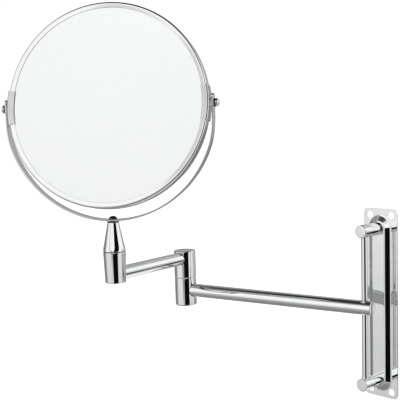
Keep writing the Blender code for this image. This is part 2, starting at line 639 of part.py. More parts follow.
def make_pivot(side_name, side, chrome, satin, black, nylon, parent):
    """One side's saddle, spacer, screw and head washer. side is +1 on the mirror's +X side, else -1."""
    shape = turned_shape(clip_outline(), 8, CLIP_SPAN)
    middle = (0 if side > 0 else math.pi) - CLIP_SPAN / 2
    bmesh.ops.rotate(shape, verts=shape.verts, cent=(0, 0, 0), matrix=Matrix.Rotation(middle, 3, "Z"))
    clip = solid(f"{side_name}_clip", shape, satin, parent, (0, 0, 0), TO_FRONT)
    out = ALONG_X if side > 0 else ALONG_MINUS_X
    drill(clip, PIVOT_HOLE_RADIUS, RIM_RADIUS - 2 * OVERRUN, CLIP_RADIUS + 2 * OVERRUN, (0, 0, 0), out)
    inner_face = YOKE_END - YOKE_THICKNESS
    spacer = ring_outline(PIVOT_HOLE_RADIUS, SPACER_RADIUS, CLIP_RADIUS + GAP, inner_face - GAP)
    turned(f"{side_name}_spacer", spacer, nylon, parent, (0, 0, 0), out, SMALL_STEPS)
    washer = ring_outline(PIVOT_HOLE_RADIUS, HEAD_WASHER_RADIUS, YOKE_END + GAP, HEAD_WASHER_TOP)
    turned(f"{side_name}_head_washer", washer, black, parent, (0, 0, 0), out, SMALL_STEPS)
    screw = dome_outline(PIVOT_HEAD_RADIUS, PIVOT_HEAD_HEIGHT, HEAD_WASHER_TOP + GAP, PIVOT_SCREW_RADIUS,
                         PIVOT_SCREW_END)
    turned(f"{side_name}_pivot_screw", screw, chrome, parent, (0, 0, 0), out, SMALL_STEPS)


def main():
    clear_scene()
    chrome = material("chrome", (0.80, 0.80, 0.81), 0.05, 1.0)
    steel = material("steel", (0.55, 0.55, 0.56), 0.3, 1.0)
    nylon = material("nylon", (0.82, 0.82, 0.80), 0.45, 0.0)
    black = material("black_washer", (0.02, 0.02, 0.02), 0.5, 0.0)
    satin = material("satin_chrome", (0.75, 0.75, 0.76), 0.3, 1.0)
    dark = material("dark_chrome", (0.07, 0.07, 0.075), 0.08, 1.0)
    silvered = material("silvered_glass", (0.92, 0.93, 0.92), 0.01, 1.0)
    board = material("core_board", (0.45, 0.42, 0.38), 0.8, 0.0)

    make_wall_plate(chrome)
    for name, side in (("top", 1), ("bottom", -1)):
        make_post(f"{name}_post", side, chrome)
        make_post_screw(f"{name}_post_screw", side, steel)
        make_lock_washer(f"{name}_lock_washer", side, steel)
    make_rail(chrome)
    make_rail_sleeve(nylon)

    inner_frame = frame_empty("inner_arm_axis", None, (0, -RAIL_OFFSET, 0), (0, 0, INNER_REST))
    outer_frame = frame_empty("elbow_axis", inner_frame, (INNER_LENGTH, 0, 0), (0, 0, ELBOW_REST))
    head_frame = frame_empty("post_axis", outer_frame, (OUTER_LENGTH, 0, 0), (0, 0, HEAD_REST))
    mirror_frame = frame_empty("pivot_axis", head_frame, (0, 0, MIRROR_LEVEL), (TILT_REST, 0, 0))

    make_inner_arm(chrome, nylon, steel, inner_frame)
    make_elbow_lower(chrome, nylon, inner_frame)
    make_elbow_pin(steel, inner_frame)
    make_elbow_upper(chrome, outer_frame)
    make_outer_arm(chrome, outer_frame)
    make_post_socket(chrome, outer_frame)
    make_mirror_post(chrome, steel, black, head_frame)
    make_yoke(chrome, head_frame)
    make_yoke_fixing(black, dark, head_frame)
    make_rim(chrome, mirror_frame)
    make_glasses(silvered, board, mirror_frame)
    for side_name, side in (("left", -1), ("right", 1)):
        make_pivot(side_name, side, chrome, satin, black, nylon, mirror_frame)


main()
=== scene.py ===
"""Looks of the extendable two-sided shaving mirror: fine chrome, glass and nylon pieces on its frame.

World frame, in metres: the wall is the plane y = 0, the mirror stands out along -Y and +Z is up. Every
piece is built in its own body's frame, whose origin is on that body's joint, and stands for the CAD node
that it names.
"""

import json
import math

import bmesh
import bpy
from mathutils import Matrix, Vector

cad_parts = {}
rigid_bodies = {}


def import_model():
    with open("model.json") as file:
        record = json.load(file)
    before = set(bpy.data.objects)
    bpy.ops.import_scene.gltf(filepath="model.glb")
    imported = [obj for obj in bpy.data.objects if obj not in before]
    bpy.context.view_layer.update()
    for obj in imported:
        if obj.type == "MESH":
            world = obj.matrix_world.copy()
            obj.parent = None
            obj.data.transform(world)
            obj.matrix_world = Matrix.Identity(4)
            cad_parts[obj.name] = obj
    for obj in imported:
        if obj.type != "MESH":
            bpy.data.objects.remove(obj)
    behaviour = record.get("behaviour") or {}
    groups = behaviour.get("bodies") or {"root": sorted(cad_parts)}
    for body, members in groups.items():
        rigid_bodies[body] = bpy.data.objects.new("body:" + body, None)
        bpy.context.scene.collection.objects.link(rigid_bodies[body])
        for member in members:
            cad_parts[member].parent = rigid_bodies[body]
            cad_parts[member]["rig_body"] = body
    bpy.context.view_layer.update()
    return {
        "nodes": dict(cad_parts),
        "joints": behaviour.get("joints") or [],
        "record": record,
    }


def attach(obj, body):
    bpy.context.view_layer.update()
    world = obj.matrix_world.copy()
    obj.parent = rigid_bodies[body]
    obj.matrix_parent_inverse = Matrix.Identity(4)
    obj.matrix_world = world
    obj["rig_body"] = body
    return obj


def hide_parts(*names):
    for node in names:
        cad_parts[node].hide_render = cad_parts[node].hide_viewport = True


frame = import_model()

MM = 0.001
FULL_TURN = 2 * math.pi
QUARTER_TURN = math.pi / 2
JOINTS = {joint["name"]: joint for joint in frame["joints"]}
SLOTS = {part["node"]: part["material_slot"] for part in frame["record"]["subparts"]}

# Camera
CAMERA_PLACE = (0.4964, -0.7085, 0.1960)
CAMERA_YAW = math.radians(46.7)
CAMERA_PITCH = math.radians(-7.24)
CAMERA_ROLL = math.radians(-1.84)
CAMERA_LENS = 79.34
CAMERA_SENSOR = 36
CAMERA_RISE = 0.05
CAMERA_NEAR = 0.01
CAMERA_FAR = 50

# Fits and edges shared by many pieces
HAIR = 0.05 * MM  # space between two pieces that touch
GAP = 0.1 * MM
BORE_PLAY = 0.3 * MM  # space round a pin in its bore
FINE_EDGE = 0.2 * MM
SOFT_EDGE = 0.3 * MM
WASHER_EDGE = 0.1 * MM
DRILL_PAST = 3 * MM  # how far the drill for a hole starts and ends outside what it cuts

# Wall plate
PLATE_WIDTH = 39 * MM
PLATE_HEIGHT = 188 * MM
PLATE_CORNER = 5 * MM
PLATE_EDGE = 0.5 * MM  # rounding of the sheet's cut edges
SHEET = 1.2 * MM
RIB_HEIGHT = 4 * MM
RIB_FOOT = 12 * MM
RIB_TOP = 7.2 * MM
RIB_BEND = 2.8 * MM
RIB_FOOT_RUN = 1.4 * MM  # how far the bend at the foot reaches into the border
RIB_TOP_RUN = 2 * MM  # how far the bend at the top reaches into the rib's flat top
SCREW_X = 12 * MM
SCREW_Z = 87.5 * MM
SCREW_HOLE = 3.5 * MM

# Posts and rail
POST_HEIGHT = 75 * MM
POST_RADIUS = 6.3 * MM
POST_REACH = 33.3 * MM
POST_EDGE = 0.9 * MM
POST_LIFT = 0.02 * MM  # space between post and rib
POST_BORE = 2.5 * MM
POST_BORE_END = 15.5 * MM
POST_SCREW_HOLE = 2.6 * MM
POST_SCREW_RADIUS = 2.4 * MM
POST_SCREW_END = 14.5 * MM
POST_SCREW_TIP = 0.4 * MM  # rounding of the tip
POST_SCREW_HEAD_RADIUS = 4.6 * MM
POST_SCREW_HEAD_FACE = 0.3 * MM
POST_SCREW_HEAD_BASE = 2.6 * MM
POST_SCREW_HEAD_EDGE = 0.8 * MM
LOCK_WASHER_HOLE = 2.7 * MM
LOCK_WASHER_RADIUS = 4.4 * MM
LOCK_WASHER_LOW = 2.9 * MM
LOCK_WASHER_HIGH = 3.7 * MM
LOCK_WASHER_SPAN = math.radians(350)
RAIL_RADIUS = 3 * MM
RAIL_OFFSET = 27.2 * MM
RAIL_HALF = 77.5 * MM
SLEEVE_RADIUS = 4.5 * MM
SLEEVE_HALF = 6.2 * MM
SLEEVE_PLAY = 0.12 * MM

# Arms and elbow: heights are above the origin, and tubes and bores end at distances from a barrel's axis
TUBE_RADIUS = 7 * MM
TUBE_WALL = 1 * MM
TUBE_EDGE = 0.35 * MM
INNER_LEVEL = 0.7 * MM
OUTER_LEVEL = 35.3 * MM
TUBE_PAST_RAIL = 7.7 * MM
RAIL_HOLE_HALF = 9 * MM
PLUG_THICKNESS = 1.5 * MM
PLUG_EDGE = 0.5 * MM
INNER_TUBE_END = 5.2 * MM
OUTER_TUBE_START = 8.9 * MM
OUTER_TUBE_END = 7.3 * MM
SOCKET_PLAY = 0.45 * MM  # fine dark gap round each tube where it enters a barrel
SOCKET_MOUTH = 14 * MM
LOWER_SOCKET_FLOOR = 4.9 * MM
UPPER_SOCKET_FLOOR = 8.6 * MM
POST_SOCKET_FLOOR = 7.0 * MM
BARREL_RADIUS = 11.7 * MM
BARREL_BOTTOM = -16.2 * MM
BARREL_BOTTOM_EDGE = 1.8 * MM
BARREL_JOINT = 14.8 * MM
BARREL_JOINT_EDGE = 0.5 * MM
BARREL_TOP = 43.8 * MM
BARREL_TOP_EDGE = 1.0 * MM
JOINT_HALF_GAP = 0.25 * MM
PIN_RADIUS = 4 * MM
PIN_FLOOR = -12 * MM
ELBOW_WASHER_EDGE = 0.15 * MM
CAP_RADIUS = 7.4 * MM
CAP_PLAY = 0.15 * MM
CAP_THICKNESS = 1.8 * MM
NUT_FLOOR = 32 * MM

# Mirror post
SOCKET_BOTTOM = 27.2 * MM
SOCKET_BOTTOM_RADIUS = 10.35 * MM
SOCKET_BOTTOM_EDGE = 0.8 * MM
SOCKET_TOP_RADIUS = 11.26 * MM
SOCKET_TOP_EDGE = 0.6 * MM
SOCKET_JOINT = 58.4 * MM
SOCKET_CAP_RADIUS = 5.8 * MM
SOCKET_CAP_THICKNESS = 1.5 * MM
SOCKET_POCKET_TOP = 33.5 * MM
SWIVEL_WASHER_PLAY = 0.03 * MM
SPINDLE_RADIUS = 3.7 * MM
SPINDLE_TOP = 75.3 * MM
CONE_SHOULDER = 6 * MM
CONE_SHOULDER_RADIUS = 10.3 * MM
CONE_SWELL = 1.5  # power of the curve from the joint up to the shoulder
CONE_TOP = 87.3 * MM
CONE_TOP_RADIUS = 5.7 * MM

# Yoke
MIRROR_LEVEL = 200.7 * MM
YOKE_DROP = 5.9 * MM
YOKE_RADIUS = 106.2 * MM
YOKE_THICKNESS = 1.8 * MM
YOKE_WIDTH = 10 * MM
YOKE_PAST_PIVOT = 9 * MM
YOKE_CORNER = 3 * MM
YOKE_PINCH = 1.7 * MM  # each end is sprung in towards the mirror by this much
YOKE_PINCH_HEIGHT = 35 * MM
YOKE_END = YOKE_RADIUS - YOKE_PINCH
YOKE_BOTTOM = MIRROR_LEVEL - YOKE_DROP - YOKE_RADIUS
YOKE_EDGE = 0.5 * MM
YOKE_EDGE_SHARE = 0.4  # the edge is never more than this share of the strip's half width
YOKE_SCREW_HOLE = 2.6 * MM
YOKE_SCREW_RADIUS = 2.4 * MM
YOKE_SCREW_END = 62 * MM
YOKE_HEAD_RADIUS = 4.1 * MM
YOKE_HEAD_HEIGHT = 3.2 * MM
YOKE_WASHER_HOLE = 2.7 * MM
YOKE_WASHER_RADIUS = 5.8 * MM

# Mirror head
MIRROR_LEAN = math.radians(-9.5)
RIM_RADIUS = 100 * MM
RIM_HALF_DEPTH = 8 * MM
RIM_WALL = 1 * MM
RIM_CORNER = 2.2 * MM
RIM_LIP_RADIUS = 94.4 * MM
RIM_LIP_FALL = 1.05 * MM
RIM_LIP_EDGE = 0.4 * MM  # thickness of the lip where it meets the glass
RIM_LIP_ROUNDING = 0.15 * MM
RIM_LIP_ROUNDING_INSIDE = 0.05 * MM
GLASS_RADIUS = 98.6 * MM
GLASS_FACE = 6.4 * MM
GLASS_EDGE = 0.4 * MM
PLAIN_THICKNESS = 3 * MM
MAGNIFYING_THICKNESS = 2 * MM
MAGNIFYING_SAG = 4.5 * MM
CLIP_RADIUS = 101 * MM
CLIP_SPAN = math.radians(19.6)
CLIP_PAST_LIP = 0.6 * MM
CLIP_LIP_FALL = 0.3 * MM
CLIP_LIP_INSIDE = 1.2 * MM
CLIP_LIP_ROUNDING = 0.35 * MM
CLIP_LIP_ROUNDING_INSIDE = 0.1 * MM
CLIP_RISE = 1.5 * MM
CLIP_RISE_INSIDE = 0.2 * MM
CLIP_CORNER = 2.2 * MM
CLIP_CORNER_INSIDE = 0.9 * MM
PIVOT_RADIUS = 2 * MM
PIVOT_HOLE = 2.3 * MM
PIVOT_PAST_RIM = 0.8 * MM
PIVOT_HEAD_RADIUS = 4.2 * MM
PIVOT_HEAD_HEIGHT = 3.3 * MM
PIVOT_WASHER_RADIUS = 4 * MM
PIVOT_WASHER_THICKNESS = 1.7 * MM
SPACER_RADIUS = 4.5 * MM
SPACER_EDGE = 0.25 * MM

# Screw heads
DOME_LAND = 0.5 * MM  # height of the upright land round a domed head's foot
POST_RECESS = (2.2 * MM, 1.5 * MM)  # reach and depth
YOKE_RECESS = (1.9 * MM, 1.4 * MM)
RECESS_FLOOR = (0.7, 0.28)  # length and width of a wedge as parts of the reach, at its floor
RECESS_MOUTH = (2, 0.42)  # and above the head
RECESS_ABOVE = 1.5 * MM

# Studio: (elevation in degrees, brightness) from straight down to straight up
GLOW_STOPS = (
    (-90, 0.22), (-60, 0.24), (-44, 0.32), (-36, 0.37), (-28, 0.45), (-20, 0.59), (-12, 0.78), (-4, 0.98),
    (4, 1.05), (12, 0.97), (26, 1.05), (32, 0.80), (38, 0.60), (44, 0.38), (50, 0.17), (56, 0.08),
    (62, 0.03), (90, 0.02),
)
# Flags on the tent: (azimuth, half width, elevation, half height, slant, softness, brightness), with
# angles in degrees. A later flag hangs in front of an earlier one.
STUDIO_FLAGS = (
    (-78, 20, 36, 8, 0, 6, 1.02),          # lamp panel over the left shoulder
    (-89, 6, 13, 15, 0, 4, 0.68),          # pale frame at its side
    (-79, 9, 2, 5, 0, 5, 0.70),            # and below it
    (-136, 9, 0, 30, 0, 12, 0.62),         # grey drape on the left
    (-150, 12, -5, 40, 0, 10, 0.34),       # its darker middle
    (-172, 12, -5, 45, 0, 10, 0.26),       # and far end
    (-160, 5, 0, 34, 0, 6, 0.12),          # dark fold in the drape
    (92, 22, 3, 32, 0, 12, 0.44),          # grey wall on the right
    (124, 20, 3, 40, 0, 12, 0.38),         # its darker middle
    (160, 22, 5, 45, 0, 12, 0.32),         # and far end
    (120, 12, -15, 9, 0, 8, 0.20),         # dark patch low on that wall
    (85, 50, -58, 24, 0, 10, 0.92),        # white sheet on the floor
    (60, 12, -7, 8, 0, 8, 0.52),           # grey edge of the low strip
    (66, 13, -20, 7, 0, 8, 0.03),          # low black strip
    (-66, 8, -5, 8, 0, 5, 0.26),           # grey edge of the opening
    (-23.5, 26, -3, 27, 0.8, 2.5, 0.004),  # black opening behind the camera
    (-14, 18, 34, 14, 0, 4, 0.02),         # its top
)
BACKDROP = 1.05  # what the camera itself sees behind the object
FLOOR_LEVEL = -0.32
FLOOR_RADIUS = 6
FLOOR_GLOW = 1.0

# Smoothness
ROUND = 96  # steps round a turned piece
FINE_ROUND = 64
SMALL_ROUND = 48
HOLE_ROUND = 32
RING = 240  # steps round the rim and the glasses
LOCK_WASHER_STEPS = 60
CLIP_STEPS = 24
CREASE = 32  # an edge stays sharp where its faces meet at more than this, in degrees
PLATE_CREASE = 40
CUT_EDGE = math.radians(60)  # and only an edge this sharp is softened
WELD = 0.001 * MM

# Sockets of the colour mix node
MIX_START = 6
MIX_END = 7
MIX_RESULT = 2


# ---- Frames of the bodies, taken from the joints ----

def joint_place(name):
    return Vector(JOINTS[name]["pos_m"])


def heading(start, end):
    return math.atan2(end.y - start.y, end.x - start.x)


def body_frame(origin, turn, lean=0.0):
    return Matrix.Translation(origin) @ Matrix.Rotation(turn, 4, "Z") @ Matrix.Rotation(lean, 4, "X")


RAIL_AXIS = joint_place("wall_swing")
ELBOW_AXIS = joint_place("elbow")
POST_AXIS = joint_place("head_swivel")
PIVOT_AXIS = joint_place("mirror_tilt")
TILT_DIRECTION = Vector(JOINTS["mirror_tilt"]["axis"])
ON_RAIL = Matrix.Translation((0, -RAIL_OFFSET, 0))
ON_INNER = body_frame((RAIL_AXIS.x, RAIL_AXIS.y, 0), heading(RAIL_AXIS, ELBOW_AXIS))
ON_ELBOW = body_frame((ELBOW_AXIS.x, ELBOW_AXIS.y, 0), heading(RAIL_AXIS, ELBOW_AXIS))
ON_OUTER = body_frame((ELBOW_AXIS.x, ELBOW_AXIS.y, 0), heading(ELBOW_AXIS, POST_AXIS))
ON_SOCKET = body_frame((POST_AXIS.x, POST_AXIS.y, 0), heading(ELBOW_AXIS, POST_AXIS))
ON_HEAD = body_frame((POST_AXIS.x, POST_AXIS.y, 0), math.atan2(TILT_DIRECTION.y, TILT_DIRECTION.x))
ON_MIRROR = body_frame(PIVOT_AXIS, math.atan2(TILT_DIRECTION.y, TILT_DIRECTION.x), MIRROR_LEAN)

TO_FRONT = Matrix.Rotation(QUARTER_TURN, 4, "X")  # turns a piece's own +Z to -Y
ALONG_X = Matrix.Rotation(QUARTER_TURN, 4, "Y")
ALONG_MINUS_X = Matrix.Rotation(-QUARTER_TURN, 4, "Y")
FACE = ON_MIRROR @ TO_FRONT


def lifted(height):
    return Matrix.Translation((0, 0, height))


# ---- Mesh tools ----

def filleted(corners, closed=False, steps=5):
    """Turns (across, up, fillet) corners into points, each fillet an arc.

    An open outline keeps its two ends.
    """
    points = []
    count = len(corners)
    for i, (across, up, fillet) in enumerate(corners):
        here = Vector((across, up))
        if fillet == 0 or (not closed and i in (0, count - 1)):
            points.append((across, up))
            continue
        before = (Vector(corners[i - 1][:2]) - here).normalized()
        after = (Vector(corners[(i + 1) % count][:2]) - here).normalized()
        half = before.angle(after) / 2
        centre = here + (before + after).normalized() * fillet / math.sin(half)
        start = here + before * fillet / math.tan(half) - centre
        end = here + after * fillet / math.tan(half) - centre
        turn = math.atan2(start.x * end.y - start.y * end.x, start.dot(end))
        for step in range(steps + 1):
            spoke = Matrix.Rotation(turn * step / steps, 2) @ start
            points.append((centre.x + spoke.x, centre.y + spoke.y))
    return points


def spun(points, steps=ROUND, turn=FULL_TURN):
    """Spins (radius, height) points about Z.

    In a full turn, points that end on the axis give a solid and others a ring.
    """
    shape = bmesh.new()
    corners = [shape.verts.new((radius, 0, height)) for radius, height in points]
    if turn == FULL_TURN:
        edges = [shape.edges.new(pair) for pair in zip(corners, corners[1:])]
        if points[0][0] > 0:
            edges.append(shape.edges.new((corners[-1], corners[0])))
        start = corners + edges
    else:
        start = [shape.faces.new(corners)]
    bmesh.ops.spin(shape, geom=start, cent=(0, 0, 0), axis=(0, 0, 1), angle=turn, steps=steps,
                   use_duplicate=False)
    bmesh.ops.remove_doubles(shape, verts=shape.verts, dist=WELD)
    return shape


def rod_points(radius, low, high, edge=0.0):
    return filleted([(0, low, 0), (radius, low, edge), (radius, high, edge), (0, high, 0)])


def ring_points(inner, outer, low, high, edge=0.0):
    corners = [(inner, low, edge), (outer, low, edge), (outer, high, edge), (inner, high, edge)]
    return filleted(corners, closed=True, steps=3)


def dome_points(radius, height, base, shank_radius, shank_end, steps=14):
    """A domed head above its base, with the shank below it and an upright land round the head's foot."""
    points = [(0, shank_end), (shank_radius, shank_end), (shank_radius, base), (radius - GAP, base),
              (radius, base + GAP)]
    for step in range(steps + 1):
        turn = QUARTER_TURN * step / steps
        across = radius * math.cos(turn) if step < steps else 0
        points.append((across, base + DOME_LAND + (height - DOME_LAND) * math.sin(turn)))
    return points


def new_object(name, shape, place, crease=CREASE):
    bmesh.ops.recalc_face_normals(shape, faces=shape.faces)
    mesh = bpy.data.meshes.new(name)
    shape.to_mesh(mesh)
    shape.free()
    mesh.transform(place)
    mesh.shade_smooth()
    mesh.set_sharp_from_angle(angle=math.radians(crease))
    made = bpy.data.objects.new(name, mesh)
    bpy.context.scene.collection.objects.link(made)
    return made


def apply_modifiers(made, crease=CREASE):
    bpy.context.view_layer.update()
    graph = bpy.context.evaluated_depsgraph_get()
    mesh = bpy.data.meshes.new_from_object(made.evaluated_get(graph))
    made.modifiers.clear()
    made.data = mesh
    mesh.shade_smooth()
    mesh.set_sharp_from_angle(angle=math.radians(crease))


def carve(made, cutters):
    """Cuts (shape, place) cutters out of a piece for good."""
    tools = []
    for shape, place in cutters:
        tool = new_object("cutter", shape, place)
        modifier = made.modifiers.new("carve", "BOOLEAN")
        modifier.operation = "DIFFERENCE"
        modifier.object = tool
        tools.append(tool)
    apply_modifiers(made)
    for tool in tools:
        bpy.data.objects.remove(tool, do_unlink=True)


def soften_edges(made, width, segments):
    edge = made.modifiers.new("edges", "BEVEL")
    edge.width = width
    edge.segments = segments
    edge.limit_method = "ANGLE"
    edge.angle_limit = CUT_EDGE


def show(made, node):
    """The piece rides on its node's body, stands for the node, and takes the finish of the node's slot."""
    made.data.materials.clear()
    made.data.materials.append(FINISHES[SLOTS[node]])
    weigh = made.modifiers.new("normals", "WEIGHTED_NORMAL")
    weigh.keep_sharp = True
    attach(made, frame["nodes"][node]["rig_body"])
    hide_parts(node)


def turned(node, points, place, steps=ROUND, cutters=()):
    made = new_object("fine_" + node, spun(points, steps), place)
    if cutters:
        carve(made, cutters)
    show(made, node)


def cross_recess(reach, depth, place):
    """Cutters for a cross-head screw: two crossed wedges that narrow towards their floor."""
    cutters = []
    for turn in (0, QUARTER_TURN):
        shape = bmesh.new()
        bmesh.ops.create_cube(shape, size=1)
        for vert in shape.verts:
            low = vert.co.z < 0
            length, width = RECESS_FLOOR if low else RECESS_MOUTH
            vert.co.x *= reach * length
            vert.co.y *= reach * width
            vert.co.z = -depth if low else RECESS_ABOVE
        cutters.append((shape, place @ Matrix.Rotation(turn, 4, "Z")))
    return cutters


# ---- Shader tools ----

def set_input(tree, socket, value):
    """Gives a socket a value, or links another node's output to it."""
    if isinstance(value, bpy.types.NodeSocket):
        tree.links.new(value, socket)
    else:
        socket.default_value = value


def shader_material(name, metallic, roughness, colour):
    made = bpy.data.materials.new(name)
    made.use_nodes = True
    shader = made.node_tree.nodes["Principled BSDF"]
    shader.inputs["Metallic"].default_value = metallic
    shader.inputs["Roughness"].default_value = roughness
    shader.inputs["Base Color"].default_value = (*colour, 1)
    return made, made.node_tree, shader


def noise(tree, scale, detail=3.0, stretch=(1, 1, 1)):
    """Noise in the piece's own space, stretched by the given factors."""
    place = tree.nodes.new("ShaderNodeTexCoord")
    mapping = tree.nodes.new("ShaderNodeMapping")
    mapping.inputs["Scale"].default_value = stretch
    texture = tree.nodes.new("ShaderNodeTexNoise")
    texture.inputs["Scale"].default_value = scale
    texture.inputs["Detail"].default_value = detail
    tree.links.new(place.outputs["Object"], mapping.inputs["Vector"])
    tree.links.new(mapping.outputs["Vector"], texture.inputs["Vector"])
    return texture.outputs["Fac"]


def spread(tree, value, low, high, start=0.3, end=0.7):
    """Maps a texture's middle range onto low to high."""
    node = tree.nodes.new("ShaderNodeMapRange")
    node.inputs["From Min"].default_value = start
    node.inputs["From Max"].default_value = end
    node.inputs["To Min"].default_value = low
    node.inputs["To Max"].default_value = high
    tree.links.new(value, node.inputs["Value"])
    return node.outputs["Result"]


def blend(tree, share, start, end):
    """Mixes two colours, which are values or outputs: start where the share is 0, end where it is 1."""
    node = tree.nodes.new("ShaderNodeMix")
    node.data_type = "RGBA"
    tree.links.new(share, node.inputs["Factor"])
    set_input(tree, node.inputs[MIX_START], start)
    set_input(tree, node.inputs[MIX_END], end)
    return node.outputs[MIX_RESULT]


def vary_colour(tree, shader, texture, dark, light):
    colour = blend(tree, spread(tree, texture, 0, 1), (*dark, 1), (*light, 1))
    tree.links.new(colour, shader.inputs["Base Color"])


def vary_roughness(tree, shader, texture, low, high):
    tree.links.new(spread(tree, texture, low, high), shader.inputs["Roughness"])


def add_bump(tree, shader, texture, height):
    node = tree.nodes.new("ShaderNodeBump")
    node.inputs["Strength"].default_value = 1.0
    node.inputs["Distance"].default_value = height
    tree.links.new(texture, node.inputs["Height"])
    tree.links.new(node.outputs["Normal"], shader.inputs["Normal"])


# ---- Materials ----

def make_chrome(name, dark, light, smooth, dull):
    """Plated metal: colour and gloss drift a little, as polish and handling leave them, over a ripple."""
    made, tree, shader = shader_material(name, 1.0, smooth, light)
    vary_colour(tree, shader, noise(tree, scale=55, detail=4), dark, light)
    vary_roughness(tree, shader, noise(tree, scale=140, detail=5), smooth, dull)
    add_bump(tree, shader, noise(tree, scale=90, detail=2), 0.004 * MM)
    return made


def make_steel():
    """Zinc-plated steel: a fine turned grain and a patchy, dull shine."""
    grain = (1, 1, 8)
    dark = (0.47, 0.48, 0.50)
    light = (0.64, 0.63, 0.60)
    made, tree, shader = shader_material("steel", 1.0, 0.3, (0.55, 0.55, 0.56))
    vary_colour(tree, shader, noise(tree, scale=400, detail=5), dark, light)
    vary_roughness(tree, shader, noise(tree, scale=900), 0.22, 0.42)
    add_bump(tree, shader, noise(tree, scale=1500, stretch=grain), 0.01 * MM)
    return made


def make_plastic(name, dark, light, roughness, grain):
    """Moulded nylon: slightly cloudy, with a fine matt grain."""
    made, tree, shader = shader_material(name, 0.0, roughness, light)
    vary_colour(tree, shader, noise(tree, scale=180, detail=4), dark, light)
    vary_roughness(tree, shader, noise(tree, scale=700), roughness - 0.06, roughness + 0.08)
    add_bump(tree, shader, noise(tree, scale=2500), grain)
    return made


def make_silvering():
    """Silver behind float glass: a clear hard coat over faintly hazy metal, with the green of the glass."""
    dark = (0.925, 0.945, 0.931)
    light = (0.940, 0.952, 0.944)
    made, tree, shader = shader_material("silvered_glass", 0.8, 0.0, light)
    shader.inputs["Coat Weight"].default_value = 0.6
    shader.inputs["Coat Roughness"].default_value = 0.0
    shader.inputs["Coat IOR"].default_value = 1.52
    vary_colour(tree, shader, noise(tree, scale=9, detail=2), dark, light)
    vary_roughness(tree, shader, noise(tree, scale=60, detail=4), 0.0, 0.012)
    return made


def make_board():
    """Pressed fibre board: short tangled fibres in browns and greys."""
    fibre = (1, 5, 1)
    dark = (0.33, 0.28, 0.22)
    light = (0.56, 0.51, 0.44)
    made, tree, shader = shader_material("core_board", 0.0, 0.85, (0.45, 0.42, 0.38))
    vary_colour(tree, shader, noise(tree, scale=900, detail=8, stretch=fibre), dark, light)
    vary_roughness(tree, shader, noise(tree, scale=500), 0.75, 0.95)
    add_bump(tree, shader, noise(tree, scale=1200, detail=6, stretch=fibre), 0.05 * MM)
    return made


FINISHES = {
    "chrome": make_chrome("chrome", (0.89, 0.895, 0.90), (0.94, 0.94, 0.945), 0.012, 0.04),
    "satin_chrome": make_chrome("satin_chrome", (0.72, 0.72, 0.725), (0.77, 0.77, 0.775), 0.24, 0.32),
    "dark_chrome": make_chrome("dark_chrome", (0.05, 0.05, 0.055), (0.09, 0.09, 0.095), 0.04, 0.10),
    "steel": make_steel(),
    "nylon": make_plastic("nylon", (0.72, 0.71, 0.68), (0.84, 0.83, 0.80), 0.42, 0.01 * MM),
    "black_washer": make_plastic("black_washer", (0.012, 0.012, 0.012), (0.03, 0.03, 0.03), 0.45,
                                 0.02 * MM),
    "silvered_glass": make_silvering(),
    "core_board": make_board(),
}


# ---- Wall plate, posts and rail ----

def obround(half_width, steps=28):
    """(x, z) points of a loop with half-round ends at the posts' heights."""
    points = []
    for end, start in ((1, 0), (-1, math.pi)):
        for step in range(steps + 1):
            turn = start + math.pi * step / steps
            points.append((half_width * math.cos(turn), end * POST_HEIGHT + half_width * math.sin(turn)))
    return points


def circle(centre_x, centre_z, radius, steps=40):
    turns = [FULL_TURN * step / steps for step in range(steps)]
    return [(centre_x + radius * math.cos(turn), centre_z + radius * math.sin(turn)) for turn in turns]


def add_loop(shape, points, y):
    verts = [shape.verts.new((x, y, z)) for x, z in points]
    edges = [shape.edges.new((verts[i - 1], verts[i])) for i in range(len(verts))]
    return verts, edges


def plate_outline():
    x = PLATE_WIDTH / 2
    z = PLATE_HEIGHT / 2
    corners = [(x, -z, PLATE_CORNER), (x, z, PLATE_CORNER), (-x, z, PLATE_CORNER), (-x, -z, PLATE_CORNER)]
    return filleted(corners, closed=True, steps=10)


def rib_side():
    """(half width, y) points from the flat border over the rib's two soft bends onto its flat top."""
    crest = -SHEET - RIB_HEIGHT
    return filleted([(RIB_FOOT + RIB_FOOT_RUN, -SHEET, 0), (RIB_FOOT, -SHEET, RIB_BEND),
                     (RIB_TOP, crest, RIB_BEND), (RIB_TOP - RIB_TOP_RUN, crest, 0)], steps=8)


def plate_front():
    """The sheet's front face: a flat border with four holes, and a rib with a hole for each post."""
    shape = bmesh.new()
    border = add_loop(shape, plate_outline(), -SHEET)[1]
    for x in (-SCREW_X, SCREW_X):
        for z in (-SCREW_Z, SCREW_Z):
            border += add_loop(shape, circle(x, z, SCREW_HOLE), -SHEET)[1]
    loops = [add_loop(shape, obround(half_width), y) for half_width, y in rib_side()]
    bmesh.ops.triangle_fill(shape, edges=border + loops[0][1], use_beauty=True)
    for (outer, _), (inner, _) in zip(loops, loops[1:]):
        for i in range(len(outer)):
            shape.faces.new((outer[i - 1], outer[i], inner[i], inner[i - 1]))
    crest = list(loops[-1][1])
    for z in (-POST_HEIGHT, POST_HEIGHT):
        crest += add_loop(shape, circle(0, z, POST_SCREW_HOLE), -SHEET - RIB_HEIGHT)[1]
    bmesh.ops.triangle_fill(shape, edges=crest, use_beauty=True)
    return shape


